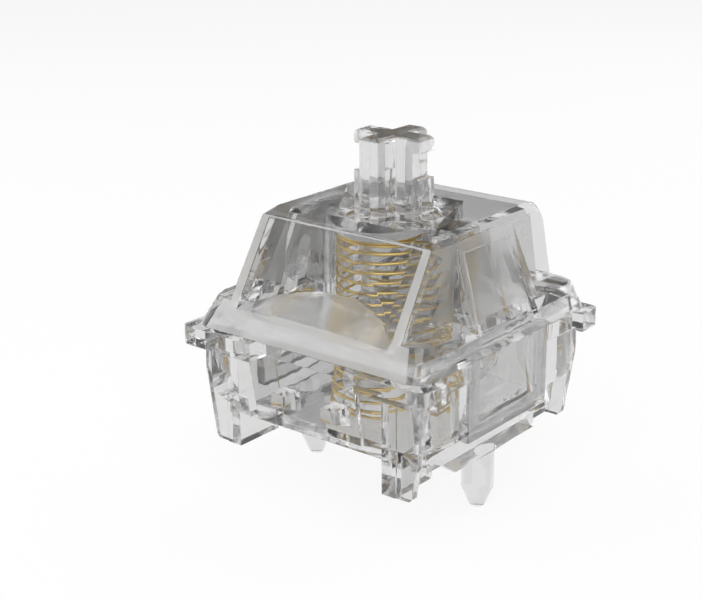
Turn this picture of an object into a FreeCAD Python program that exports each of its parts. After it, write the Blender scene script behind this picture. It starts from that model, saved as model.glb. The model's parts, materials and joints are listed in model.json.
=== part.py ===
import FreeCAD, Part
import math
import os
import Sketcher

# Clear contactless keyboard switch for a square plate cut-out, in millimetres.
# The origin is on the switch's axis in the plane of the plate's top face, which is the flange's underside.
# +Z is up, -Y is the face with the framed scoop, and the latch loops are on the -X and +X sides.

vector = FreeCAD.Vector
doc = FreeCAD.newDocument("keyboard_switch")

# Driving dimensions

sizes = {
    # stem
    "cross_rise": 3.85,
    "cross_half_x": 2.05,
    "cross_half_y": 2.03,
    "cross_thick_x": 1.31,
    "cross_thick_y": 1.17,
    "cross_chamfer": 0.15,
    "relief_under_top": 0.75,
    "relief_length": 1.33,
    "relief_deep": 0.4,
    "shoulder_lap": 0.8,
    "shoulder_thick": 0.45,
    "pole_radius": 1.45,
    "pole_engage": 2.1,
    "pole_chamfer": 0.3,
    "wing_length": 1.05,
    "wing_thick": 0.75,
    "wing_half_y": 0.9,
    "wing_foot_gap": 2.0,
    "shutter_half_x": 1.4,
    "shutter_length": 0.95,
    "shutter_thick": 0.5,
    "shutter_foot_gap": 0.8,
    # spring
    "spring_inset": 0.25,
    "wire_thick": 0.2,
    "spring_turns": 18.5,
    # running clearances and the stem's travel down to the guide sleeve
    "stem_gap": 0.05,
    "guide_gap": 0.12,
    "stop_gap": 0.1,
    "travel": 4.0,
    # round opening for the stem
    "opening_gap": 0.4,
    "opening_flare": 0.7,
    "opening_bevel": 0.35,
    # flange and its corner tabs
    "flange_reach_x": 1.45,
    "flange_reach_y": 1.4,
    "flange_thick": 1.0,
    "flange_round": 0.5,
    "tab_length": 4.8,
    "tab_width": 1.2,
    "rim_reach": 0.8,
    # tub of the lower housing
    "cavity_room_x": 1.2,
    "cavity_room_y": 1.35,
    "tub_draft_y": 0.8,
    "tub_depth": 4.2,
    "tub_wall": 0.85,
    "floor_thick": 0.6,
    # rounded corner blocks under the flange, behind the fins
    "corner_reach": 0.55,
    "corner_thick": 1.9,
    "corner_gap": 0.25,
    "corner_depth": 3.1,
    "corner_radius": 1.0,
    # corner legs: a bar that stands on the circuit board and a fin beside it
    "bar_thick": 0.87,
    "bar_reach": 0.58,
    "bar_deep": 2.98,
    "board_gap": 1.05,
    "leg_chamfer": 0.18,
    "fin_reach_x": 0.63,
    "fin_reach_y": 0.5,
    "fin_taper": 0.58,
    "fin_thick": 0.45,
    "fin_elbow_depth": 1.4,
    # side blocks that carry the locating pins
    "block_drop": 0.8,
    "block_thick": 1.9,
    "block_reach": 1.4,
    "block_slope_y": 1.25,
    "block_slope_z": 0.85,
    "pin_inset": 0.87,
    "pin_radius": 0.85,
    "pin_tip_radius": 0.4,
    "pin_taper": 1.1,
    "pin_length": 3.25,
    # clips that hold the switch in the plate, and the raised pad that they stand on
    "plate_thick": 1.5,
    "clip_centre_x": 1.6,
    "clip_width": 0.95,
    "clip_reach": 0.95,
    "clip_lead": 1.4,
    "clip_land": 0.7,
    "pad_half_x": 2.55,
    "pad_reach": 0.15,
    "pad_lean": 0.6,
    "pad_depth": 3.7,
    # guide sleeve and light towers on the tub's floor
    "sleeve_room": 0.5,
    "tower_side_gap": 0.35,
    "tower_width": 1.1,
    "tower_top": 0.2,
    "tower_lap": 0.7,
    "lamp_window_depth": 1.6,
    "lamp_window_edge": 0.25,
    # latches between the two housings
    "latch_centre_y": 0.4,
    "latch_half_y": 3.5,
    "latch_leg": 0.9,
    "latch_bar": 0.75,
    "latch_drop": 3.35,
    "latch_thick": 0.58,
    "latch_root": 0.4,
    "latch_gap": 0.06,
    "wedge_lead": 1.9,
    "wedge_land": 0.24,
    "wedge_reach": 0.5,
    "wedge_side_gap": 0.25,
    # cover of the upper housing
    "skirt_reach_x": 0.95,
    "skirt_reach_y": 1.15,
    "skirt_top": 2.5,
    "skirt_lean": 0.5,
    "skirt_round": 0.9,
    "round_share": 0.29,
    "front_reach": 1.02,
    "front_lap": 0.32,
    "wing_room": 0.35,
    "shutter_room": 0.95,
    "cover_lean": 0.1,
    "cover_top": 6.85,
    "cover_back_ledge": 0.05,
    "cover_chamfer": 0.45,
    "cover_back_round": 1.4,
    "cover_wall": 0.8,
    "roof_thick": 0.55,
    # slanted latch panels at the sides of the cover
    "panel_drop": 0.6,
    "panel_inset": 0.4,
    "panel_taper": 0.7,
    "panel_rib": 0.5,
    "panel_recess": 0.3,
    # framed scoop in the front face
    "scoop_frame": 0.53,
    "scoop_lip": 0.5,
    "scoop_sill": 0.38,
    "scoop_arch": 0.12,
    "scoop_radius": 6.6,
    "scoop_wall": 0.9,
    "scoop_rise": 0.44,
    "scoop_step": 0.5,
    # hollow of the cover and the ribs that guide the stem's wings
    "skirt_wall": 0.9,
    "hall_high": 0.7,
    "well_gap": 0.2,
    "pocket_wall": 1.25,
    "guide_rib": 0.4,
    # depth by which a rib or a ramp is rooted in the wall that carries it
    "root_depth": 0.2,
}

# Places and sizes that follow: the housings are laid out round the stem, from the cross outwards

places = {
    "opening_radius": "dims.cross_half_x + dims.opening_gap",
    "opening_rim": "opening_radius + dims.opening_flare",
    "shoulder_radius": "opening_radius + dims.shoulder_lap",
    "well_radius": "shoulder_radius + dims.well_gap",
    "spring_radius": "shoulder_radius - dims.spring_inset",
    "sleeve_outer": "spring_radius - dims.wire_thick / 2 - dims.sleeve_room",
    "wing_reach": "shoulder_radius + dims.wing_length",
    "wing_edge": "dims.wing_half_y + dims.guide_gap",
    "shutter_reach": "shoulder_radius + dims.shutter_length",
    "cavity_half_x": "wing_reach + dims.cavity_room_x",
    "cavity_half_y": "shutter_reach + dims.cavity_room_y",
    "tub_half_x": "cavity_half_x + dims.tub_wall",
    "tub_half_y": "cavity_half_y + dims.tub_wall",
    "flange_half_x": "tub_half_x + dims.flange_reach_x",
    "flange_half_y": "tub_half_y + dims.flange_reach_y",
    "tab_inner_x": "flange_half_x - dims.tab_length",
    "tab_inner_y": "flange_half_y - dims.tab_width",
    "rim_half_x": "tub_half_x + dims.rim_reach",
    "corner_half_x": "tub_half_x + dims.corner_reach",
    "corner_inner_x": "corner_half_x - dims.corner_thick",
    "latch_inner": "tub_half_x + dims.latch_gap",
    "latch_front": "dims.latch_centre_y - dims.latch_half_y",
    "latch_back": "dims.latch_centre_y + dims.latch_half_y",
    "corner_inner_y": "latch_back + dims.corner_gap",
    "bar_outer_x": "cavity_half_x",
    "bar_inner_x": "bar_outer_x - dims.bar_thick",
    "bar_face_y": "tub_half_y + dims.bar_reach",
    "bar_back_y": "bar_face_y - dims.bar_deep",
    "fin_face_y": "tub_half_y + dims.fin_reach_y",
    "fin_half_x": "tub_half_x + dims.fin_reach_x",
    "fin_tip_x": "fin_half_x - dims.fin_taper",
    "clip_face_y": "tub_half_y + dims.clip_reach",
    "pin_offset": "tub_half_x - dims.pin_inset",
    "leg_depth": "dims.tub_depth + dims.board_gap",
    "block_depth": "dims.tub_depth + dims.block_drop",
    "block_front": "latch_front - dims.block_reach",
    "pin_depth": "block_depth + dims.pin_length",
    "window_low": "-dims.latch_drop + dims.latch_bar",
    "skirt_foot_x": "tub_half_x + dims.skirt_reach_x",
    "skirt_foot_y": "tub_half_y + dims.skirt_reach_y",
    "skirt_top_x": "skirt_foot_x - dims.skirt_lean",
    "skirt_top_y": "skirt_foot_y - dims.skirt_lean",
    "cover_low_x": "wing_reach + dims.wing_room + dims.cover_wall",
    "cover_top_x": "cover_low_x - dims.cover_lean",
    "cover_back_low": "skirt_top_y - dims.cover_back_ledge",
    "cover_back_top": "shutter_reach + dims.shutter_room + dims.cover_wall",
    "front_foot": "tub_half_y + dims.front_reach",
    "front_slope": "(front_foot - well_radius - dims.front_lap) / (dims.cover_top - dims.flange_thick)",
    "roof_under": "dims.cover_top - dims.roof_thick",
    "shoulder_top": "roof_under - dims.stem_gap",
    "shoulder_low": "shoulder_top - dims.shoulder_thick",
    "cross_top": "dims.cover_top + dims.cross_rise",
    "relief_high": "cross_top - dims.relief_under_top",
    "relief_low": "relief_high - dims.relief_length",
    "floor_top": "-dims.tub_depth + dims.floor_thick",
    "sleeve_top": "shoulder_low - dims.travel - dims.stop_gap",
    "pole_end": "sleeve_top - dims.pole_engage",
    "wing_end": "floor_top + dims.travel + dims.wing_foot_gap",
    "shutter_end": "floor_top + dims.travel + dims.shutter_foot_gap",
    "tower_half_gap": "dims.shutter_half_x + dims.tower_side_gap",
    "tower_inner_y": "shutter_reach - dims.tower_lap",
    "panel_top": "dims.cover_top - dims.panel_drop",
    "panel_half_low": "dims.latch_half_y - dims.panel_inset",
    "panel_half_top": "panel_half_low - dims.panel_taper",
    "scoop_half": "cover_top_x - dims.scoop_frame",
    "scoop_top": "dims.cover_top - dims.scoop_lip",
    "scoop_low": "dims.skirt_top - dims.scoop_sill",
    "scoop_wall_y": "well_radius + dims.scoop_wall",
    "pocket_inner_x": "wing_reach - dims.wing_thick",
}


def newSheet(name, cells):
    sheet = doc.addObject("Spreadsheet::Sheet", name)
    for row, (word, content) in enumerate(cells.items(), start=1):
        sheet.set("A%d" % row, word)
        sheet.set("B%d" % row, content)
        sheet.setAlias("B%d" % row, word)
    doc.recompute()
    return sheet


dims = newSheet("dims", {word: str(value) for word, value in sizes.items()})
fits = newSheet("fits", {word: "=" + formula for word, formula in places.items()})

floorTop = "fits.floor_top"
roofUnder = "fits.roof_under"
shoulderTop = "fits.shoulder_top"
shoulderLow = "fits.shoulder_low"


def frontAt(height):
    """The front face's Y at a height above the plate: one plane from the skirt's foot to the top."""
    return "(-fits.front_foot + (%s - dims.flange_thick) * fits.front_slope)" % height


def minus(formula):
    return "-(%s)" % formula


# Sketch helpers: every corner is held from the origin by values of the sheet

def newBody(label):
    body = doc.addObject("PartDesign::Body", label)
    body.Label = label
    return body


def newSketch(body, name, role, height=None):
    sketch = body.newObject("Sketcher::SketchObject", name)
    plane = [item for item in body.Origin.OriginFeatures if item.Role == role][0]
    sketch.AttachmentSupport = [(plane, "")]
    sketch.MapMode = "FlatFace"
    if height is not None:
        sketch.setExpression("AttachmentOffset.Base.z", height)
    return sketch


def hold(sketch, kind, geometry, point, formula):
    value = float(sketch.evalExpression(formula))
    index = sketch.addConstraint(Sketcher.Constraint(kind, -1, 1, geometry, point, value))
    sketch.setExpression("Constraints[%d]" % index, formula)


def outline(sketch, corners):
    """A closed outline of straight lines through the corners, each a pair of formulas."""
    first = sketch.GeometryCount
    count = len(corners)
    spots = [vector(float(sketch.evalExpression(a)), float(sketch.evalExpression(b)), 0) for a, b in corners]
    for i in range(count):
        sketch.addGeometry(Part.LineSegment(spots[i], spots[(i + 1) % count]), False)
    for i, (across, along) in enumerate(corners):
        sketch.addConstraint(Sketcher.Constraint("Coincident", first + i, 2, first + (i + 1) % count, 1))
        hold(sketch, "DistanceX", first + i, 1, across)
        hold(sketch, "DistanceY", first + i, 1, along)


def rectangle(sketch, left, right, low, high):
    outline(sketch, [(left, low), (right, low), (right, high), (left, high)])


def roundedOutline(sketch, half, low, high):
    """A rectangle about the Y axis whose corners are cut in two steps, close to a round corner."""
    cut = "dims.skirt_round"
    share = "dims.skirt_round * dims.round_share"
    right = [("%s - %s" % (half, cut), low),
             ("%s - %s" % (half, share), "%s + %s" % (low, share)),
             (half, "%s + %s" % (low, cut)),
             (half, "%s - %s" % (high, cut)),
             ("%s - %s" % (half, share), "%s - %s" % (high, share)),
             ("%s - %s" % (half, cut), high)]
    outline(sketch, right + [(minus(across), along) for across, along in reversed(right)])


def circle(sketch, across, along, radius):
    centre = vector(float(sketch.evalExpression(across)), float(sketch.evalExpression(along)), 0)
    value = float(sketch.evalExpression(radius))
    ring = sketch.addGeometry(Part.Circle(centre, vector(0, 0, 1), value), False)
    index = sketch.addConstraint(Sketcher.Constraint("Radius", ring, value))
    sketch.setExpression("Constraints[%d]" % index, radius)
    hold(sketch, "DistanceX", ring, 3, across)
    hold(sketch, "DistanceY", ring, 3, along)


# Feature helpers

def extrude(body, kind, sketch, length, flip=False, both=False):
    """A Pad or a Pocket: a Pad follows the sketch's normal and a Pocket goes against it, unless flipped."""
    feature = body.newObject("PartDesign::" + kind, sketch.Name + "_" + kind.lower())
    feature.Profile = sketch
    feature.setExpression("Length", length)
    feature.Reversed = flip
    if both:
        feature.SideType = "Symmetric"
    return feature


def loft(body, kind, lower, upper):
    feature = body.newObject("PartDesign::" + kind, lower.Name + "_loft")
    feature.Profile = lower
    feature.Sections = [upper]
    feature.Ruled = True
    return feature


def turn(body, kind, sketch):
    """A Revolution or a Groove about the sketch's own vertical axis."""
    feature = body.newObject("PartDesign::" + kind, sketch.Name + "_turn")
    feature.Profile = sketch
    feature.ReferenceAxis = (sketch, ["V_Axis"])
    feature.Angle = 360
    return feature


def dress(body, kind, name, amount, wanted):
    """A Fillet or a Chamfer on the edges of the body so far that the function picks."""
    doc.recompute()
    base = body.Tip
    names = ["Edge%d" % i for i, edge in enumerate(base.Shape.Edges, start=1) if wanted(edge)]
    if not names:
        raise RuntimeError("no edge found for " + name)
    feature = body.newObject("PartDesign::" + kind, name)
    feature.Base = (base, names)
    feature.setExpression("Radius" if kind == "Fillet" else "Size", amount)
    return feature


def place(word):
    return float(fits.get(word))


def near(first, second):
    return abs(first - second) < 0.001


def ends(edge):
    return [vertex.Point for vertex in edge.Vertexes]


def upright(edge, x, y):
    """True for a straight upright edge that stands at the given distances from the axis planes."""
    points = ends(edge)
    return len(points) == 2 and all(near(abs(p.x), x) and near(abs(p.y), y) for p in points)


# Lower housing: flange, tub, legs, latch wedges and locating pins in one moulding

def makeLowerHousing():
    body = newBody("lower_housing")
    rim = newSketch(body, "rim", "XY_Plane")
    rectangle(rim, "-fits.rim_half_x", "fits.rim_half_x", "-fits.tab_inner_y", "fits.tab_inner_y")
    extrude(body, "Pad", rim, "dims.flange_thick")

    tabs = newSketch(body, "corner_tabs", "XY_Plane")
    for sideX in ("", "-"):
        for sideY in ("", "-"):
            rectangle(tabs, sideX + "fits.tab_inner_x", sideX + "fits.flange_half_x",
                      sideY + "(fits.tab_inner_y - dims.flange_round)", sideY + "fits.flange_half_y")
    extrude(body, "Pad", tabs, "dims.flange_thick")
    dress(body, "Fillet", "tab_rounds", "dims.flange_round",
          lambda edge: upright(edge, place("flange_half_x"), place("flange_half_y")))

    tubTop = newSketch(body, "tub_top", "XY_Plane", "dims.flange_thick / 2")
    rectangle(tubTop, "-fits.tub_half_x", "fits.tub_half_x", "-fits.tub_half_y", "fits.tub_half_y")
    tubLow = newSketch(body, "tub_low", "XY_Plane", "-dims.tub_depth")
    tubLowY = "(fits.tub_half_y - dims.tub_draft_y)"
    rectangle(tubLow, "-fits.tub_half_x", "fits.tub_half_x", minus(tubLowY), tubLowY)
    loft(body, "AdditiveLoft", tubTop, tubLow)

    for side in ("front", "back"):
        makeCornerBlocks(body, side)
    halfX = place("corner_half_x")
    low = -float(dims.get("corner_depth"))

    def blockEdge(edge):
        points = ends(edge)
        return len(points) == 2 and all(near(abs(p.x), halfX) and near(p.z, low) for p in points)

    dress(body, "Fillet", "corner_rounds", "dims.corner_radius", blockEdge)
    for side in ("front", "back"):
        makeFins(body, side)

    bars = newSketch(body, "leg_bars", "XY_Plane")
    for sideX in ("", "-"):
        for sideY in ("", "-"):
            rectangle(bars, sideX + "fits.bar_inner_x", sideX + "fits.bar_outer_x",
                      sideY + "fits.bar_back_y", sideY + "fits.bar_face_y")
    extrude(body, "Pad", bars, "fits.leg_depth", flip=True)

    makeSideBlocks(body)
    makeWedges(body)
    makePlateClips(body)
    makePins(body)

    cavityTop = newSketch(body, "cavity_top", "XY_Plane", "dims.flange_thick")
    cavityX = "fits.cavity_half_x"
    rectangle(cavityTop, "-" + cavityX, cavityX, "-fits.cavity_half_y", "fits.cavity_half_y")
    cavityLow = newSketch(body, "cavity_low", "XY_Plane", floorTop)
    cavityLowY = "(fits.cavity_half_y - dims.tub_draft_y)"
    rectangle(cavityLow, "-" + cavityX, cavityX, minus(cavityLowY), cavityLowY)
    loft(body, "SubtractiveLoft", cavityTop, cavityLow)

    notches = newSketch(body, "latch_notches", "XY_Plane", "dims.flange_thick")
    for side in ("", "-"):
        rectangle(notches, side + "fits.tub_half_x", side + "fits.flange_half_x",
                  "fits.latch_front - dims.guide_gap", "fits.latch_back + dims.guide_gap")
    extrude(body, "Pocket", notches, "dims.flange_thick")

    sleeve = newSketch(body, "guide_sleeve", "XY_Plane", floorTop)
    circle(sleeve, "0", "0", "fits.sleeve_outer")
    extrude(body, "Pad", sleeve, "fits.sleeve_top - " + floorTop)

    towers = newSketch(body, "light_towers", "XY_Plane", floorTop)
    for side in ("", "-"):
        rectangle(towers, side + "fits.tower_half_gap", side + "(fits.tower_half_gap + dims.tower_width)",
                  "fits.tower_inner_y", cavityLowY + " + dims.root_depth")
    extrude(body, "Pad", towers, "dims.tower_top - " + floorTop)

    lamps = newSketch(body, "lamp_windows", "XY_Plane", "-dims.tub_depth")
    edge = "dims.lamp_window_edge"
    for side in ("", "-"):
        rectangle(lamps, side + "(fits.tower_half_gap + %s)" % edge,
                  side + "(fits.tower_half_gap + dims.tower_width - %s)" % edge,
                  "fits.tower_inner_y + " + edge, cavityLowY + " - " + edge)
    extrude(body, "Pocket", lamps, "dims.lamp_window_depth", flip=True)

    bore = newSketch(body, "guide_bore", "XY_Plane", "fits.sleeve_top")
    circle(bore, "0", "0", "dims.pole_radius + dims.guide_gap")
    extrude(body, "Pocket", bore, "fits.sleeve_top + dims.tub_depth")
    return body


def makeCornerBlocks(body, side):
    """The two corner blocks under the flange, on the front or the back."""
    front = side == "front"
    face = "(fits.fin_face_y - dims.fin_thick)"
    block = newSketch(body, "corner_blocks_" + side, "XZ_Plane", face if front else minus(face))
    for way in ("", "-"):
        rectangle(block, way + "fits.corner_inner_x", way + "fits.corner_half_x", "-dims.corner_depth", "0")
    extrude(body, "Pad", block, face + " - fits.corner_inner_y", flip=front)


def makeFins(body, side):
    """The two tapered fins beside the leg bars, on the front or the back."""
    front = side == "front"
    fin = newSketch(body, "fins_" + side, "XZ_Plane", "fits.fin_face_y" if front else "-fits.fin_face_y")
    for way in ("", "-"):
        outline(fin, [(way + "fits.bar_inner_x", "0"),
                      (way + "fits.fin_half_x", "0"),
                      (way + "fits.fin_half_x", "-dims.fin_elbow_depth"),
                      (way + "fits.fin_tip_x", "-fits.leg_depth + dims.leg_chamfer"),
                      (way + "(fits.fin_tip_x - dims.leg_chamfer)", "-fits.leg_depth"),
                      (way + "fits.bar_inner_x", "-fits.leg_depth")])
    extrude(body, "Pad", fin, "dims.fin_thick", flip=front)


def makeSideBlocks(body):
    """The blocks over the locating pins, each with a sloped corner towards the front."""
    top = floorTop
    for name, way in (("right", ""), ("left", "-")):
        block = newSketch(body, "side_block_" + name, "YZ_Plane", way + "fits.tub_half_x")
        outline(block, [("fits.block_front + dims.block_slope_y", "-fits.block_depth"),
                        ("fits.latch_back", "-fits.block_depth"),
                        ("fits.latch_back", top),
                        ("fits.block_front", top),
                        ("fits.block_front", "-fits.block_depth + dims.block_slope_z")])
        extrude(body, "Pad", block, "dims.block_thick", flip=(way == ""))


def makeWedges(body):
    """The ramps that the latch loops of the upper housing snap over."""
    wedgeFront = "(fits.latch_front + dims.latch_leg + dims.wedge_side_gap)"
    wedges = newSketch(body, "latch_wedges", "XZ_Plane", minus(wedgeFront))
    catch = "(fits.window_low + dims.latch_gap)"
    for way in ("", "-"):
        outline(wedges, [(way + "fits.tub_half_x", catch),
                         (way + "(fits.tub_half_x + dims.wedge_reach)", catch),
                         (way + "(fits.tub_half_x + dims.wedge_reach)", catch + " + dims.wedge_land"),
                         (way + "fits.tub_half_x", catch + " + dims.wedge_lead")])
    extrude(body, "Pad", wedges, "2 * (dims.latch_half_y - dims.latch_leg - dims.wedge_side_gap)", flip=True)


def makePlateClips(body):
    """Two clips on the front and two on the back, which catch under the plate, each pair on a raised pad."""
    root = "(fits.tub_half_y - dims.tub_draft_y - dims.root_depth)"
    padTop = "(fits.tub_half_y + dims.pad_reach)"
    for side, way in (("front", "-"), ("back", "")):
        pad = newSketch(body, "clip_pad_" + side, "YZ_Plane")
        outline(pad, [(way + root, "0"),
                      (way + padTop, "0"),
                      (way + "(%s - dims.pad_lean)" % padTop, "-dims.pad_depth"),
                      (way + root, "-dims.pad_depth")])
        extrude(body, "Pad", pad, "2 * dims.pad_half_x", both=True)
        for hand, across in (("right", ""), ("left", "-")):
            clip = newSketch(body, "clip_%s_%s" % (side, hand), "YZ_Plane", across + "dims.clip_centre_x")
            outline(clip, [(way + root, "-dims.plate_thick"),
                           (way + "fits.clip_face_y", "-dims.plate_thick"),
                           (way + "fits.clip_face_y", "-dims.plate_thick - dims.clip_land"),
                           (way + root, "-dims.plate_thick - dims.clip_lead")])
            extrude(body, "Pad", clip, "dims.clip_width", both=True)


def makePins(body):
    """Two plain locating pins with tapered ends, turned about their own axes."""
    for side, way in (("right", ""), ("left", "-")):
        pin = newSketch(body, "pin_" + side, "XZ_Plane")
        pin.setExpression("AttachmentOffset.Base.x", way + "fits.pin_offset")
        outline(pin, [("0", "-fits.block_depth + dims.root_depth"),
                      ("dims.pin_radius", "-fits.block_depth + dims.root_depth"),
                      ("dims.pin_radius", "-fits.pin_depth + dims.pin_taper"),
                      ("dims.pin_tip_radius", "-fits.pin_depth"),
                      ("0", "-fits.pin_depth")])
        turn(body, "Revolution", pin)


# Upper housing: cover, skirt, latch panels and latch loops in one moulding

def makeUpperHousing():
    body = newBody("upper_shell")
    foot = "dims.flange_thick"
    skirtLow = newSketch(body, "skirt_low", "XY_Plane", foot)
    roundedOutline(skirtLow, "fits.skirt_foot_x", frontAt(foot), "fits.skirt_foot_y")
    skirtHigh = newSketch(body, "skirt_high", "XY_Plane", "dims.skirt_top")
    roundedOutline(skirtHigh, "fits.skirt_top_x", frontAt("dims.skirt_top"), "fits.skirt_top_y")
    loft(body, "AdditiveLoft", skirtLow, skirtHigh)

    coverLow = newSketch(body, "cover_low", "XY_Plane", "dims.skirt_top")
    rectangle(coverLow, "-fits.cover_low_x", "fits.cover_low_x",
              frontAt("dims.skirt_top"), "fits.cover_back_low")
    coverHigh = newSketch(body, "cover_high", "XY_Plane", "dims.cover_top")
    rectangle(coverHigh, "-fits.cover_top_x", "fits.cover_top_x",
              frontAt("dims.cover_top"), "fits.cover_back_top")
    loft(body, "AdditiveLoft", coverLow, coverHigh)

    top = float(dims.get("cover_top"))
    side = place("cover_top_x")
    back = place("cover_back_top")

    def topSide(edge):
        points = ends(edge)
        return len(points) == 2 and all(near(p.z, top) and near(abs(p.x), side) for p in points)

    def topBack(edge):
        points = ends(edge)
        return len(points) == 2 and all(near(p.z, top) and near(p.y, back) for p in points)

    dress(body, "Fillet", "back_round", "dims.cover_back_round", topBack)
    dress(body, "Chamfer", "side_chamfers", "dims.cover_chamfer", topSide)

    panelLow = newSketch(body, "panel_low", "XY_Plane", foot)
    rectangle(panelLow, "-fits.skirt_foot_x", "fits.skirt_foot_x",
              "dims.latch_centre_y - fits.panel_half_low", "dims.latch_centre_y + fits.panel_half_low")
    panelHigh = newSketch(body, "panel_high", "XY_Plane", "fits.panel_top")
    rectangle(panelHigh, "-fits.cover_top_x", "fits.cover_top_x",
              "dims.latch_centre_y - fits.panel_half_top", "dims.latch_centre_y + fits.panel_half_top")
    loft(body, "AdditiveLoft", panelLow, panelHigh)
    makePanelRecess(body)
    makeHollow(body)
    makeWingGuides(body)

    opening = newSketch(body, "stem_opening", "XZ_Plane")
    outline(opening, [("0", roofUnder + " - dims.roof_thick"),
                      ("fits.opening_radius", roofUnder + " - dims.roof_thick"),
                      ("fits.opening_radius", "dims.cover_top - dims.opening_bevel"),
                      ("fits.opening_rim", "dims.cover_top"),
                      ("fits.opening_rim", "dims.cover_top + dims.roof_thick"),
                      ("0", "dims.cover_top + dims.roof_thick")])
    turn(body, "Groove", opening)
    makeLatchLoops(body)

    housing = doc.addObject("Part::Cut", "upper_housing")
    housing.Label = "upper_housing"
    housing.Base = body
    housing.Tool = makeScoop()
    return housing


def panelAt(height):
    """The slanted panel's X at a height above the plate."""
    return ("(fits.skirt_foot_x - (fits.skirt_foot_x - fits.cover_top_x) * (%s - dims.flange_thick)"
            " / (fits.panel_top - dims.flange_thick))" % height)


def panelHalfAt(height):
    """Half of the slanted panel's width at a height above the plate."""
    return ("(fits.panel_half_low - (fits.panel_half_low - fits.panel_half_top) * (%s - dims.flange_thick)"
            " / (fits.panel_top - dims.flange_thick))" % height)


def makePanelRecess(body):
    """A shallow field between two ribs on each slanted panel."""
    low = "(dims.flange_thick + dims.panel_rib)"
    high = "(fits.panel_top - dims.panel_rib)"
    for name, way in (("right", ""), ("left", "-")):
        sections = []
        for level, height in (("low", low), ("high", high)):
            field = newSketch(body, "field_%s_%s" % (name, level), "XY_Plane", height)
            half = "(%s - dims.panel_rib)" % panelHalfAt(height)
            rectangle(field, way + "(%s - dims.panel_recess)" % panelAt(height),
                      way + "(%s + dims.panel_rib)" % panelAt(height),
                      "dims.latch_centre_y - " + half, "dims.latch_centre_y + " + half)
            sections.append(field)
        loft(body, "SubtractiveLoft", sections[0], sections[1])


def makeHollow(body):
    """The inside of the cover: a hall over the flange, a round well for the spring and corner pockets."""
    foot = "dims.flange_thick"
    hall = newSketch(body, "hall", "XY_Plane", foot)
    hallX = "(fits.skirt_foot_x - dims.skirt_wall)"
    rectangle(hall, minus(hallX), hallX, frontAt(foot) + " + dims.skirt_wall", "fits.tub_half_y")
    extrude(body, "Pocket", hall, "dims.hall_high", flip=True)

    well = newSketch(body, "spring_well", "XY_Plane", foot)
    circle(well, "0", "0", "fits.well_radius")
    extrude(body, "Pocket", well, roofUnder + " - " + foot, flip=True)

    rearLow = newSketch(body, "rear_low", "XY_Plane", foot)
    rearLowX = "(fits.cover_low_x - dims.cover_wall)"
    rectangle(rearLow, minus(rearLowX), rearLowX,
              "-fits.wing_edge", "fits.cover_back_low - dims.cover_wall")
    rearHigh = newSketch(body, "rear_high", "XY_Plane", roofUnder)
    rearHighX = "(fits.cover_top_x - dims.cover_wall)"
    rectangle(rearHigh, minus(rearHighX), rearHighX,
              "-fits.wing_edge", "fits.cover_back_top - dims.cover_wall")
    loft(body, "SubtractiveLoft", rearLow, rearHigh)

    for name, way in (("right", ""), ("left", "-")):
        low = newSketch(body, "pocket_low_" + name, "XY_Plane", foot)
        rectangle(low, way + "fits.pocket_inner_x", way + rearLowX, frontAt(foot) + " + dims.pocket_wall",
                  "dims.wing_half_y")
        high = newSketch(body, "pocket_high_" + name, "XY_Plane", roofUnder)
        rectangle(high, way + "fits.pocket_inner_x", way + rearHighX,
                  frontAt(roofUnder) + " + dims.pocket_wall", "dims.wing_half_y")
        loft(body, "SubtractiveLoft", low, high)

    panelFoot = newSketch(body, "panel_hollow_low", "XY_Plane", foot)
    inner = "(fits.panel_half_low - dims.cover_wall)"
    rectangle(panelFoot, minus(hallX), hallX,
              "dims.latch_centre_y - " + inner, "dims.latch_centre_y + " + inner)
    panelPeak = newSketch(body, "panel_hollow_high", "XY_Plane", "fits.panel_top - dims.panel_rib")
    peakX = "(%s - dims.skirt_wall)" % panelAt("(fits.panel_top - dims.panel_rib)")
    inner = "(fits.panel_half_top - dims.cover_wall)"
    rectangle(panelPeak, minus(peakX), peakX,
              "dims.latch_centre_y - " + inner, "dims.latch_centre_y + " + inner)
    loft(body, "SubtractiveLoft", panelFoot, panelPeak)


def makeWingGuides(body):
    """Ribs on both sides of each stem wing, from the hall's roof to the cover's roof."""
    foot = "(dims.flange_thick + dims.hall_high)"
    for name, way in (("right", ""), ("left", "-")):
        for side, hand in (("front", "-"), ("back", "")):
            sections = []
            for level, height in (("low", foot), ("high", roofUnder)):
                rib = newSketch(body, "guide_%s_%s_%s" % (name, side, level), "XY_Plane", height)
                rectangle(rib, way + "fits.well_radius",
                          way + "(%s - dims.skirt_wall / 2)" % panelAt(height),
                          hand + "fits.wing_edge", hand + "(fits.wing_edge + dims.guide_rib)")
                sections.append(rib)
            loft(body, "AdditiveLoft", sections[0], sections[1])


def makeLatchLoops(body):
    """A loop on each side that hangs from the skirt and hooks under a wedge of the lower housing."""
    for name, way in (("right", ""), ("left", "-")):
        loop = newSketch(body, "latch_loop_" + name, "YZ_Plane", way + "fits.latch_inner")
        rectangle(loop, "fits.latch_front", "fits.latch_back",
                  "-dims.latch_drop", "dims.flange_thick + dims.latch_root")
        rectangle(loop, "fits.latch_front + dims.latch_leg", "fits.latch_back - dims.latch_leg",
                  "fits.window_low", "dims.flange_thick")
        extrude(body, "Pad", loop, "dims.latch_thick", flip=(way == "-"))


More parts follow.
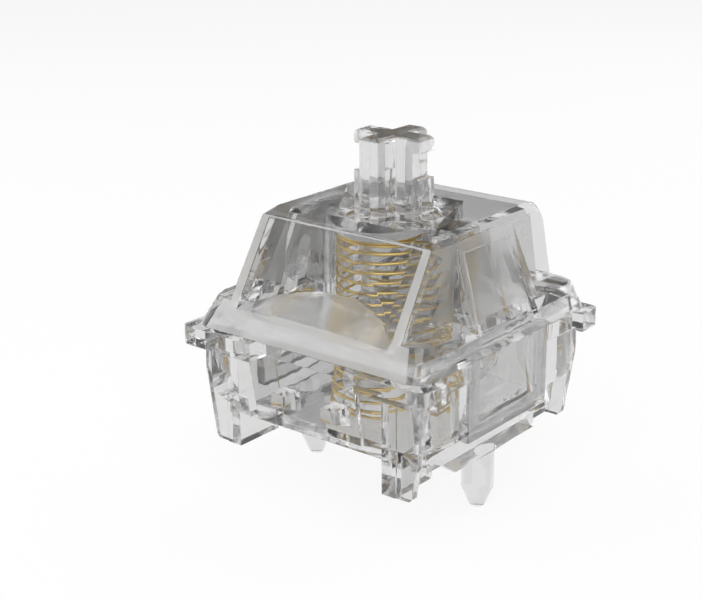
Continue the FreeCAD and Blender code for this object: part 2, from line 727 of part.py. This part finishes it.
def makeScoop():
    """The cutter of the front face: a shallow field in the frame, and a round scoop over an arched ledge."""
    view = doc.addObject("Sketcher::SketchObject", "scoop_view")
    view.Placement = FreeCAD.Placement(vector(0, 0, 0), FreeCAD.Rotation(vector(1, 0, 0), 90))
    view.setExpression("Placement.Base.y", frontAt("fits.scoop_low"))
    scoopHigh = "dims.cover_top + fits.scoop_low"
    corners = [("fits.scoop_half", "fits.scoop_low"), ("fits.scoop_half", scoopHigh),
               ("-fits.scoop_half", scoopHigh), ("-fits.scoop_half", "fits.scoop_low")]
    spots = [vector(float(view.evalExpression(a)), float(view.evalExpression(b)), 0) for a, b in corners]
    for i in range(3):
        view.addGeometry(Part.LineSegment(spots[i], spots[i + 1]), False)
    radius = "((fits.scoop_half ^ 2 + dims.scoop_arch ^ 2) / (2 * dims.scoop_arch))"
    middle = "fits.scoop_low + dims.scoop_arch - " + radius
    centre = vector(0, float(view.evalExpression(middle)), 0)
    spread = [math.atan2(spot.y - centre.y, spot.x) for spot in (spots[0], spots[3])]
    ring = Part.Circle(centre, vector(0, 0, 1), centre.distanceToPoint(spots[0]))
    arch = view.addGeometry(Part.ArcOfCircle(ring, spread[0], spread[1]), False)
    for i, (across, along) in enumerate(corners[:3]):
        if i:
            view.addConstraint(Sketcher.Constraint("Coincident", i - 1, 2, i, 1))
        hold(view, "DistanceX", i, 1, across)
        hold(view, "DistanceY", i, 1, along)
    hold(view, "DistanceX", 2, 2, corners[3][0])
    hold(view, "DistanceY", 2, 2, corners[3][1])
    view.addConstraint(Sketcher.Constraint("Coincident", arch, 1, 0, 1))
    view.addConstraint(Sketcher.Constraint("Coincident", arch, 2, 2, 2))
    hold(view, "DistanceY", arch, 3, middle)

    throat = doc.addObject("Part::Extrusion", "scoop_throat")
    throat.Base = view
    throat.DirMode = "Custom"
    throat.Dir = vector(0, 1, 0)
    throat.setExpression("Dir.z", "dims.scoop_rise")
    throat.setExpression("LengthFwd", "fits.front_foot")
    throat.Solid = True

    wall = doc.addObject("Part::Cylinder", "scoop_wall")
    wall.setExpression("Radius", "dims.scoop_radius")
    wall.setExpression("Height", "fits.scoop_top")
    wall.setExpression("Placement.Base.y", "-fits.scoop_wall_y - dims.scoop_radius")

    side = doc.addObject("Sketcher::SketchObject", "scoop_side")
    side.Placement = FreeCAD.Placement(vector(0, 0, 0), FreeCAD.Rotation(vector(1, 1, 1), 120))
    ahead = "-2 * fits.front_foot"
    outline(side, [(frontAt("0") + " + dims.scoop_step", "0"),
                   (frontAt("fits.scoop_top") + " + dims.scoop_step", "fits.scoop_top"),
                   (ahead, "fits.scoop_top"), (ahead, "0")])
    field = doc.addObject("Part::Extrusion", "scoop_field")
    field.Base = side
    field.DirMode = "Custom"
    field.Dir = vector(1, 0, 0)
    field.Symmetric = True
    field.setExpression("LengthFwd", "4 * fits.scoop_half")
    field.Solid = True

    depth = doc.addObject("Part::Fuse", "scoop_depth")
    depth.Base = wall
    depth.Tool = field
    scoop = doc.addObject("Part::Common", "scoop_cutter")
    scoop.Base = throat
    scoop.Tool = depth
    return scoop


# Stem: keycap cross, shoulder, guide pole, wings and light shutter in one moulding

def makeStem():
    body = newBody("stem")
    disc = newSketch(body, "shoulder", "XY_Plane", shoulderLow)
    circle(disc, "0", "0", "fits.shoulder_radius")
    extrude(body, "Pad", disc, "dims.shoulder_thick")

    root = "(%s - dims.shoulder_thick / 2)" % shoulderTop
    for name, halfX, halfY in (("cross_x", "dims.cross_half_x", "dims.cross_thick_x / 2"),
                               ("cross_y", "dims.cross_thick_y / 2", "dims.cross_half_y")):
        arm = newSketch(body, name, "XY_Plane", root)
        rectangle(arm, minus(halfX), halfX, minus(halfY), halfY)
        extrude(body, "Pad", arm, "fits.cross_top - " + root)
    top = place("cross_top")
    dress(body, "Chamfer", "cross_edges", "dims.cross_chamfer",
          lambda edge: all(near(p.z, top) for p in ends(edge)))

    relief = newSketch(body, "arm_relief", "XZ_Plane")
    for way in ("", "-"):
        rectangle(relief, way + "(dims.cross_half_x - dims.relief_deep)",
                  way + "(dims.cross_half_x + dims.relief_deep)", "fits.relief_low", "fits.relief_high")
    extrude(body, "Pocket", relief, "2 * dims.cross_thick_x", both=True)

    wings = newSketch(body, "wing_arms", "XY_Plane", shoulderLow)
    rectangle(wings, "-fits.wing_reach", "fits.wing_reach", "-dims.wing_half_y", "dims.wing_half_y")
    extrude(body, "Pad", wings, "dims.shoulder_thick")
    blades = newSketch(body, "wing_blades", "XY_Plane", shoulderLow)
    for way in ("", "-"):
        rectangle(blades, way + "(fits.wing_reach - dims.wing_thick)", way + "fits.wing_reach",
                  "-dims.wing_half_y", "dims.wing_half_y")
    extrude(body, "Pad", blades, shoulderLow + " - fits.wing_end", flip=True)

    carrier = newSketch(body, "shutter_arm", "XY_Plane", shoulderLow)
    rectangle(carrier, "-dims.shutter_half_x", "dims.shutter_half_x", "0", "fits.shutter_reach")
    extrude(body, "Pad", carrier, "dims.shoulder_thick")
    shutter = newSketch(body, "shutter_blade", "XY_Plane", shoulderLow)
    rectangle(shutter, "-dims.shutter_half_x", "dims.shutter_half_x",
              "fits.shutter_reach - dims.shutter_thick", "fits.shutter_reach")
    extrude(body, "Pad", shutter, shoulderLow + " - fits.shutter_end", flip=True)

    pole = newSketch(body, "guide_pole", "XZ_Plane")
    outline(pole, [("0", shoulderLow + " + dims.shoulder_thick / 2"),
                   ("dims.pole_radius", shoulderLow + " + dims.shoulder_thick / 2"),
                   ("dims.pole_radius", "fits.pole_end + dims.pole_chamfer"),
                   ("dims.pole_radius - dims.pole_chamfer", "fits.pole_end"),
                   ("0", "fits.pole_end")])
    turn(body, "Revolution", pole)
    return body


# Spring: a wire coil between the tub's floor and the stem's shoulder

def makeSpring():
    """The wire's section is square: fewer faces over many turns, and as thick as the round wire."""
    body = newBody("return_spring")
    wire = newSketch(body, "wire_section", "XZ_Plane")
    rectangle(wire, "fits.spring_radius - dims.wire_thick / 2", "fits.spring_radius + dims.wire_thick / 2",
              floorTop, floorTop + " + dims.wire_thick")
    coil = body.newObject("PartDesign::AdditiveHelix", "coil")
    coil.Profile = wire
    coil.ReferenceAxis = (wire, ["V_Axis"])
    coil.Mode = "height-turns-angle"
    coil.setExpression("Height", "%s - dims.wire_thick - %s" % (shoulderLow, floorTop))
    coil.setExpression("Turns", "dims.spring_turns")
    return body


def checkFeatures():
    """Stops if a feature has failed or has added or taken nothing."""
    for item in doc.Objects:
        if "Invalid" in item.State or "Error" in item.State:
            raise RuntimeError("%s has failed: %s" % (item.Name, item.State))
    for item in doc.Objects:
        base = getattr(item, "BaseFeature", None)
        if item.isDerivedFrom("PartDesign::Feature") and base is not None:
            change = item.Shape.Volume - base.Shape.Volume
            taking = ("Pocket", "Groove", "Subtractive", "Fillet", "Chamfer")
            cuts = any(word in item.TypeId for word in taking)
            if change == 0 or (change > 0) == cuts:
                raise RuntimeError("%s changes the volume by %g" % (item.Name, change))


def writeParts(pieces):
    os.makedirs("parts", exist_ok=True)
    for piece in pieces:
        shape = piece.Shape
        if shape.isNull() or not shape.isValid() or len(shape.Solids) != 1:
            raise RuntimeError(piece.Label + " is not one valid solid")
        print("%-16s volume %8.2f  faces %d" % (piece.Label, shape.Volume, len(shape.Faces)))
        shape.exportStep("parts/%s.step" % piece.Label)


pieces = [makeLowerHousing(), makeUpperHousing(), makeStem(), makeSpring()]
doc.recompute()
checkFeatures()
writeParts(pieces)
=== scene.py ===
import bpy
import json
import math
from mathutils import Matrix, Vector

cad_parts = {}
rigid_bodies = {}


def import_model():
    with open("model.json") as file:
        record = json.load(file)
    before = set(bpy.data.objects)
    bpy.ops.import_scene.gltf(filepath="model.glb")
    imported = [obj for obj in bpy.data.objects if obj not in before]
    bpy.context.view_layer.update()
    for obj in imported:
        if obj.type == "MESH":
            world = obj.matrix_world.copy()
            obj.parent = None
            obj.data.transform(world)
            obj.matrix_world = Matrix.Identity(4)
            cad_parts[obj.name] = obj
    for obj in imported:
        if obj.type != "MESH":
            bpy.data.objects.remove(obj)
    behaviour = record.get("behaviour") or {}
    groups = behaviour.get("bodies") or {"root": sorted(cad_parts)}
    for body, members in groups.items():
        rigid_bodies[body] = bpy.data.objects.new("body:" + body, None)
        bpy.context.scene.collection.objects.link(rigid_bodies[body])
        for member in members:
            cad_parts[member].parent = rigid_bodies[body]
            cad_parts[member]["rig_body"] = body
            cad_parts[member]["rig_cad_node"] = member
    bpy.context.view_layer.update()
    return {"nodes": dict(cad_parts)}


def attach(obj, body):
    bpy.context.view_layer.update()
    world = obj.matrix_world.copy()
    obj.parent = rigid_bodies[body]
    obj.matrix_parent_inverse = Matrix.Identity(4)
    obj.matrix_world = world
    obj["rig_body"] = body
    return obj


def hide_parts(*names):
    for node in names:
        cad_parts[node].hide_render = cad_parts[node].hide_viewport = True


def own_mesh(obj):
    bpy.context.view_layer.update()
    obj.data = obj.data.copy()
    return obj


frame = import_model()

mm = 0.001
print("frame loaded:", ", ".join(sorted(frame["nodes"])))


def linear(hexColour):  # sRGB hex to the linear values a shader wants
    parts = [int(hexColour[i:i + 2], 16) / 255 for i in (1, 3, 5)]
    return [p / 12.92 if p <= 0.04045 else ((p + 0.055) / 1.055) ** 2.4 for p in parts] + [1.0]


def addNode(tree, kind, settings=None, inputs=None):  # inputs: a value, or the output socket to link from
    node = tree.nodes.new(kind)
    for word, value in (settings or {}).items():
        setattr(node, word, value)
    for word, value in (inputs or {}).items():
        if isinstance(value, bpy.types.NodeSocket):
            tree.links.new(value, node.inputs[word])
        else:
            node.inputs[word].default_value = value
    return node


def newMaterial(name):
    material = bpy.data.materials.new(name)
    material.use_nodes = True
    material.node_tree.nodes.clear()
    return material, material.node_tree


def useMaterial(piece, material):
    piece.data.materials.clear()
    piece.data.materials.append(material)


def clearSelection():
    if bpy.context.object and bpy.context.object.mode != "OBJECT":
        bpy.ops.object.mode_set(mode="OBJECT")
    bpy.ops.object.select_all(action="DESELECT")


def pick(piece):
    clearSelection()
    piece.select_set(True)
    bpy.context.view_layer.objects.active = piece


def placeInMesh(piece):  # the object ends at the origin, unturned, with its place in its mesh
    pick(piece)
    bpy.ops.object.transform_apply(location=True, rotation=True, scale=True)


# camera, from the photograph's own perspective
view = {"azimuth": 37.5785, "elevation": 20.1285, "distance": 76.94 * mm, "lens": 75.245, "sensor": 36,
        "shiftX": -0.0608, "shiftY": 0.0470, "nearest": 1 * mm, "farthest": 2}
azimuth, elevation = math.radians(view["azimuth"]), math.radians(view["elevation"])
away = Vector((math.sin(azimuth) * math.cos(elevation), -math.cos(azimuth) * math.cos(elevation),
               math.sin(elevation)))
bpy.ops.object.camera_add(location=away * view["distance"])
camera = bpy.context.object
camera.rotation_euler = away.to_track_quat("Z", "Y").to_euler()
camera.data.lens = view["lens"]
camera.data.sensor_width = view["sensor"]
camera.data.shift_x, camera.data.shift_y = view["shiftX"], view["shiftY"]
camera.data.clip_start, camera.data.clip_end = view["nearest"], view["farthest"]
bpy.context.scene.camera = camera
bpy.context.scene.view_settings.view_transform = "Standard"
bounces = {"all": 48, "through": 48, "gloss": 24}  # clear walls behind clear walls need many
tracing = bpy.context.scene.cycles
tracing.max_bounces, tracing.transmission_bounces = bounces["all"], bounces["through"]
tracing.glossy_bounces = bounces["gloss"]
print("camera placed")

# studio: white floor and surroundings for the eye, for reflections and for what the clear plastic bends
studio = {"floorHalf": 0.6, "floorZ": -8.25 * mm, "floorColour": "#f4f4f4", "floorGlow": 0.9,
          "worldGrey": "#9a9a9a", "white": "#ffffff"}


def seenDirectly(tree):  # 1 for rays from the camera, off gloss or through the plastic, 0 for diffuse light
    rays = addNode(tree, "ShaderNodeLightPath")
    seen = addNode(tree, "ShaderNodeMath", {"operation": "MAXIMUM"},
                   {0: rays.outputs["Is Camera Ray"], 1: rays.outputs["Is Transmission Ray"]})
    seen = addNode(tree, "ShaderNodeMath", {"operation": "MAXIMUM"},
                   {0: seen.outputs[0], 1: rays.outputs["Is Glossy Ray"]})
    return seen.outputs[0]


world = bpy.data.worlds.new("studio")
bpy.context.scene.world = world
world.use_nodes = True
tree = world.node_tree
tree.nodes.clear()
soft = addNode(tree, "ShaderNodeBackground", None, {"Color": linear(studio["worldGrey"]), "Strength": 1.0})
white = addNode(tree, "ShaderNodeBackground", None, {"Color": linear(studio["white"]), "Strength": 1.0})
both = addNode(tree, "ShaderNodeMixShader", None,
               {0: seenDirectly(tree), 1: soft.outputs[0], 2: white.outputs[0]})
addNode(tree, "ShaderNodeOutputWorld", None, {"Surface": both.outputs[0]})

clearSelection()
bpy.ops.mesh.primitive_plane_add(size=2 * studio["floorHalf"], location=(0, 0, studio["floorZ"]))
floor = bpy.context.object
floor.name = "floor"
placeInMesh(floor)
material, tree = newMaterial("white studio floor")  # its matt share keeps the object's faint shadow
matt = addNode(tree, "ShaderNodeBsdfDiffuse", None, {"Color": linear(studio["floorColour"])})
glow = addNode(tree, "ShaderNodeEmission", None, {"Color": linear(studio["white"]), "Strength": 1.0})
glowShare = addNode(tree, "ShaderNodeMath", {"operation": "MULTIPLY"},
                    {0: seenDirectly(tree), 1: studio["floorGlow"]})
both = addNode(tree, "ShaderNodeMixShader", None,
               {0: glowShare.outputs[0], 1: matt.outputs[0], 2: glow.outputs[0]})
addNode(tree, "ShaderNodeOutputMaterial", None, {"Surface": both.outputs[0]})
useMaterial(floor, material)

# cloth tent: white at its rim and turning grey higher up, which the clear walls mirror and bend into view
ceiling = {"radius": 300 * mm, "segments": 48, "rings": 24, "rimHeight": 5 * mm, "greyFrom": 70 * mm,
           "rim": "#ffffff", "grey": "#505050"}
clearSelection()
bpy.ops.mesh.primitive_uv_sphere_add(segments=ceiling["segments"], ring_count=ceiling["rings"],
                                     radius=ceiling["radius"])
dome = bpy.context.object
dome.name = "grey_ceiling"
bpy.ops.object.mode_set(mode="EDIT")
bpy.ops.mesh.select_all(action="SELECT")
bpy.ops.mesh.bisect(plane_co=(0, 0, ceiling["rimHeight"]), plane_no=(0, 0, 1), clear_inner=True)
bpy.ops.object.mode_set(mode="OBJECT")
placeInMesh(dome)
material, tree = newMaterial("grey ceiling cloth")
spot = addNode(tree, "ShaderNodeTexCoord")
height = addNode(tree, "ShaderNodeSeparateXYZ", None, {0: spot.outputs["Object"]})
share = addNode(tree, "ShaderNodeMapRange", {"interpolation_type": "SMOOTHSTEP"},
                {"Value": height.outputs["Z"], "From Min": ceiling["rimHeight"],
                 "From Max": ceiling["greyFrom"]})
shade = addNode(tree, "ShaderNodeMix", {"data_type": "RGBA"},
                {0: share.outputs[0], 6: linear(ceiling["rim"]), 7: linear(ceiling["grey"])})
glow = addNode(tree, "ShaderNodeEmission", None, {"Color": shade.outputs[2], "Strength": 1.0})
addNode(tree, "ShaderNodeOutputMaterial", None, {"Surface": glow.outputs[0]})
material.cycles.emission_sampling = "NONE"
useMaterial(dome, material)
dome.visible_camera = False

lamps = {"key": {"place": (60, -90, 110), "size": 200, "power": 0.25},  # place and size in mm
         "fill": {"place": (-110, -40, 60), "size": 200, "power": 0.12},
         "rim": {"place": (20, 110, 90), "size": 200, "power": 0.12}}
for name, lamp in lamps.items():
    place = Vector(lamp["place"]) * mm
    clearSelection()
    bpy.ops.object.light_add(type="AREA", location=place)
    lampObject = bpy.context.object
    lampObject.name = name
    lampObject.rotation_euler = place.to_track_quat("Z", "Y").to_euler()
    lampObject.data.shape = "DISK"
    lampObject.data.size = lamp["size"] * mm
    lampObject.data.energy = lamp["power"]
print("studio lit")

# polycarbonate: neutral and see-through, a little greyer at each wall, with painted shade that darkens its
# colour towards dark grey where it is seen edge-on
clear = {"tint": "#dbdbdb", "paintedEdgeShade": "#606060", "paintedShadeFrom": 0.75, "ior": 1.3, "stemIor": 1.4,
         "roughness": 0.03, "through": 1.0, "gloss": 0.6, "glossIor": 1.5, "glossRoughness": 0.02}
# moulded skin: long shallow flow waves that bend the view a little, and the fine grit of an eroded mould
skin = {"waveSize": 1.2 * mm, "waveDepth": 0.03 * mm, "gritSize": 0.07 * mm, "gritDepth": 0.004 * mm}


def clearPlastic(name, roughness, through, ior=clear["ior"], grit=0.0):
    material, tree = newMaterial(name)
    spot = addNode(tree, "ShaderNodeTexCoord")
    waves = addNode(tree, "ShaderNodeTexNoise", None,
                    {"Vector": spot.outputs["Object"], "Scale": 1 / skin["waveSize"], "Detail": 1.0})
    surface = addNode(tree, "ShaderNodeBump", None,
                      {"Height": waves.outputs[0], "Strength": 1.0, "Distance": skin["waveDepth"]})
    if grit:
        grains = addNode(tree, "ShaderNodeTexNoise", None,
                         {"Vector": spot.outputs["Object"], "Scale": 1 / skin["gritSize"], "Detail": 2.0})
        surface = addNode(tree, "ShaderNodeBump", None,
                          {"Height": grains.outputs[0], "Strength": grit, "Distance": skin["gritDepth"],
                           "Normal": surface.outputs[0]})
    # painted shade: the base colour is mixed towards dark grey where the surface is seen edge-on
    slant = addNode(tree, "ShaderNodeLayerWeight", None, {"Blend": 0.5})
    paintedShadeShare = addNode(tree, "ShaderNodeMapRange", {"clamp": True},
                        {"Value": slant.outputs["Facing"], "From Min": clear["paintedShadeFrom"], "From Max": 1.0})
    colour = addNode(tree, "ShaderNodeMix", {"data_type": "RGBA"},
                     {0: paintedShadeShare.outputs[0], 6: linear(clear["tint"]), 7: linear(clear["paintedEdgeShade"])})
    shader = addNode(tree, "ShaderNodeBsdfPrincipled", None,
                     {"Base Color": colour.outputs[2], "Roughness": roughness, "IOR": ior,
                      "Transmission Weight": through, "Coat Weight": clear["gloss"],
                      "Coat IOR": clear["glossIor"], "Coat Roughness": clear["glossRoughness"],
                      "Normal": surface.outputs[0]})
    addNode(tree, "ShaderNodeOutputMaterial", None, {"Surface": shader.outputs[0]})
    return material


# from a polished mould: glassy, with sharp reflections and bright and dark bands along its edges; the dark
# bands are partly painted shade from the edge-on darkening of its colour
housingPlastic = clearPlastic("clear polished polycarbonate", clear["roughness"], clear["through"])
stemPlastic = clearPlastic("clear polished stem plastic", clear["roughness"], clear["through"],
                           clear["stemIor"])
# from an eroded part of the mould: the front frame scatters light and looks pale grey
satin = {"roughness": 0.45, "through": 0.6, "grit": 1.0}
satinPlastic = clearPlastic("satin moulded polycarbonate", satin["roughness"], satin["through"],
                            grit=satin["grit"])
# a finer satin on the scoop's ledge and the slanted latch panels: it blurs what lies behind to smooth grey
lightSatin = {"roughness": 0.3, "through": 0.85, "grit": 0.5}
lightSatinPlastic = clearPlastic("lightly satin moulded polycarbonate", lightSatin["roughness"],
                                 lightSatin["through"], grit=lightSatin["grit"])
# thin polished walls before and over the coil: they bend the view less, so that the coil shows plainly
thin = {"ior": 1.08, "roughness": 0.02}
thinPlastic = clearPlastic("clear polished thin wall", thin["roughness"], clear["through"], thin["ior"])

# gold-plated drawn wire: thin bright lines with the faint dull marks of the drawing die
wireSkin = {"colour": "#ecd080", "markSize": 0.04 * mm, "markDepth": 0.0015 * mm,
            "smooth": 0.16, "dull": 0.32}
goldWire, tree = newMaterial("gold plated drawn spring wire")
spot = addNode(tree, "ShaderNodeTexCoord")
marks = addNode(tree, "ShaderNodeTexNoise", None,
                {"Vector": spot.outputs["Object"], "Scale": 1 / wireSkin["markSize"], "Detail": 2.0})
dullness = addNode(tree, "ShaderNodeMapRange", None,
                   {"Value": marks.outputs[0], "To Min": wireSkin["smooth"], "To Max": wireSkin["dull"]})
drawn = addNode(tree, "ShaderNodeBump", None,
                {"Height": marks.outputs[0], "Strength": 1.0, "Distance": wireSkin["markDepth"]})
shader = addNode(tree, "ShaderNodeBsdfPrincipled", None,
                 {"Base Color": linear(wireSkin["colour"]), "Metallic": 1.0,
                  "Roughness": dullness.outputs[0], "Normal": drawn.outputs[0]})
addNode(tree, "ShaderNodeOutputMaterial", None, {"Surface": shader.outputs[0]})
print("materials made")

# the three mouldings: the solids' own shapes with the small edge rounds that a mould leaves
moulding = {"mergeWithin": 0.002 * mm, "edgeRound": 0.05 * mm, "roundSteps": 2, "sharpFrom": 35.0,
            "flatWeight": 100}


def roundedCopy(nodeName, name):
    piece = frame["nodes"][nodeName].copy()
    piece.data = piece.data.copy()
    piece.parent = None
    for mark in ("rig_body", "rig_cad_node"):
        del piece[mark]
    piece.name = name
    bpy.context.scene.collection.objects.link(piece)
    pick(piece)
    bpy.ops.object.mode_set(mode="EDIT")
    bpy.ops.mesh.select_all(action="SELECT")
    bpy.ops.mesh.remove_doubles(threshold=moulding["mergeWithin"])
    bpy.ops.object.mode_set(mode="OBJECT")
    return piece


def finishMoulding(piece, nodeName, body, material):
    pick(piece)
    sharpFrom = math.radians(moulding["sharpFrom"])
    edges = piece.modifiers.new("edges", "BEVEL")
    edges.width, edges.segments = moulding["edgeRound"], moulding["roundSteps"]
    edges.limit_method, edges.angle_limit = "ANGLE", sharpFrom
    edges.use_clamp_overlap = False
    bpy.ops.object.modifier_apply(modifier=edges.name)
    bpy.ops.object.shade_smooth_by_angle(angle=sharpFrom)
    flats = piece.modifiers.new("flats", "WEIGHTED_NORMAL")  # flat walls stay flat beside their rounds
    flats.keep_sharp, flats.weight = True, moulding["flatWeight"]
    bpy.ops.object.modifier_apply(modifier=flats.name)
    useMaterial(piece, material)
    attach(piece, body)
    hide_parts(nodeName)
    print(piece.name, "moulded:", len(piece.data.polygons), "faces")


# cover: its foot is lifted by a hair of air, as at a real parting line between two housings
foot = {"z": 1.0 * mm, "within": 0.01 * mm, "downward": -0.99, "gap": 0.02 * mm}
cover = roundedCopy("upper_housing", "clear_cover")
bpy.ops.object.mode_set(mode="EDIT")
bpy.ops.mesh.select_all(action="DESELECT")
bpy.ops.object.mode_set(mode="OBJECT")
for face in cover.data.polygons:
    face.select = face.normal.z < foot["downward"] and abs(face.center.z - foot["z"]) < foot["within"]
bpy.ops.object.mode_set(mode="EDIT")
bpy.ops.transform.translate(value=(0, 0, foot["gap"]))
bpy.ops.object.mode_set(mode="OBJECT")
finishMoulding(cover, "upper_housing", "housing", housingPlastic)

# where the cover's other finishes lie
frontFrame = {"foot": Vector((0, -7.37, 1.0)) * mm, "normal": Vector((0, -0.8517, 0.5241)),
              "alike": 0.99, "within": 0.1 * mm}
ledge = {"low": 2.0 * mm, "high": 3.6 * mm, "before": -4.0 * mm, "halfX": 4.9 * mm, "level": 0.8}
panel = {"fromX": 5.0 * mm, "low": 2.6 * mm, "high": 6.4 * mm, "halfY": 3.6 * mm, "sideways": 0.85}
thinWall = {"halfX": 5.3 * mm, "low": 2.6 * mm, "roofLow": 6.4 * mm, "level": 0.95}
finishes = [housingPlastic, satinPlastic, lightSatinPlastic, thinPlastic]
for finish in finishes[1:]:
    cover.data.materials.append(finish)
for face in cover.data.polygons:
    middle, facing = face.center, face.normal
    depth = (middle - frontFrame["foot"]).dot(frontFrame["normal"])
    onFrame = facing.dot(frontFrame["normal"]) > frontFrame["alike"] and abs(depth) < frontFrame["within"]
    onLedge = (facing.z > ledge["level"] and ledge["low"] < middle.z < ledge["high"]
               and middle.y < ledge["before"] and abs(middle.x) < ledge["halfX"])
    onPanel = (facing.x * math.copysign(1, middle.x) > panel["sideways"] and abs(middle.x) > panel["fromX"]
               and panel["low"] < middle.z < panel["high"] and abs(middle.y) < panel["halfY"])
    onRoof = facing.z > thinWall["level"] and middle.z > thinWall["roofLow"]
    beforeCoil = abs(middle.x) < thinWall["halfX"] and middle.z > thinWall["low"]
    if onFrame:
        face.material_index = finishes.index(satinPlastic)
    elif onLedge or onPanel:
        face.material_index = finishes.index(lightSatinPlastic)
    elif onRoof or beforeCoil:
        face.material_index = finishes.index(thinPlastic)
print("cover finished")

base = roundedCopy("lower_housing", "clear_base")
finishMoulding(base, "lower_housing", "housing", housingPlastic)
plunger = roundedCopy("stem", "clear_stem")
finishMoulding(plunger, "stem", "plunger", stemPlastic)

# return spring: closed turns at each end, open turns between
spring = {"radius": 3.0 * mm, "wireRadius": 0.075 * mm, "low": -3.6 * mm, "high": 5.8 * mm,
          "footTurns": 1.5, "openTurns": 17.0, "topTurns": 1.5, "travel": 4 * mm,
          "closedPitch": 2.05, "joinWithin": 0.2,  # in wire radii
          "sides": 10, "stepsPerTurn": 40, "smoothBelow": 40.0}
wireRadius = spring["wireRadius"]
footRise = spring["footTurns"] * spring["closedPitch"] * wireRadius
topRise = spring["topTurns"] * spring["closedPitch"] * wireRadius
firstZ, lastZ = spring["low"] + wireRadius, spring["high"] - wireRadius
openRise = lastZ - firstZ - footRise - topRise
runs = [(0.0, firstZ, spring["footTurns"], footRise),
        (spring["footTurns"], firstZ + footRise, spring["openTurns"], openRise),
        (spring["footTurns"] + spring["openTurns"], lastZ - topRise, spring["topTurns"], topRise)]
coils = []
for startTurn, startZ, turns, rise in runs:
    angle = 2 * math.pi * (startTurn % 1)
    clearSelection()
    bpy.ops.mesh.primitive_circle_add(
        vertices=spring["sides"], radius=wireRadius,
        location=(spring["radius"] * math.cos(angle), spring["radius"] * math.sin(angle), startZ),
        rotation=(math.pi / 2, 0, angle))
    coil = bpy.context.object
    placeInMesh(coil)
    screw = coil.modifiers.new("turns", "SCREW")
    screw.angle = 2 * math.pi * turns
    screw.screw_offset = rise
    screw.iterations = 1
    screw.steps = screw.render_steps = round(spring["stepsPerTurn"] * turns)
    bpy.ops.object.modifier_apply(modifier=screw.name)
    coils.append(coil)
clearSelection()
for coil in coils:
    coil.select_set(True)
bpy.context.view_layer.objects.active = coils[0]
bpy.ops.object.join()
springPiece = coils[0]
springPiece.name = "gold_spring"
bpy.ops.object.mode_set(mode="EDIT")
bpy.ops.mesh.select_all(action="SELECT")
bpy.ops.mesh.remove_doubles(threshold=spring["joinWithin"] * wireRadius)
bpy.ops.mesh.select_all(action="DESELECT")
bpy.ops.mesh.select_non_manifold()  # the wire's two open ends
bpy.ops.mesh.edge_face_add()
bpy.ops.mesh.select_all(action="SELECT")
bpy.ops.mesh.normals_make_consistent(inside=False)
bpy.ops.object.mode_set(mode="OBJECT")
bpy.ops.object.shade_smooth_by_angle(angle=math.radians(spring["smoothBelow"]))
useMaterial(springPiece, goldWire)
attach(springPiece, "housing")
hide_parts("return_spring")
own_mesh(springPiece)
print("spring wound:", len(springPiece.data.polygons), "faces")
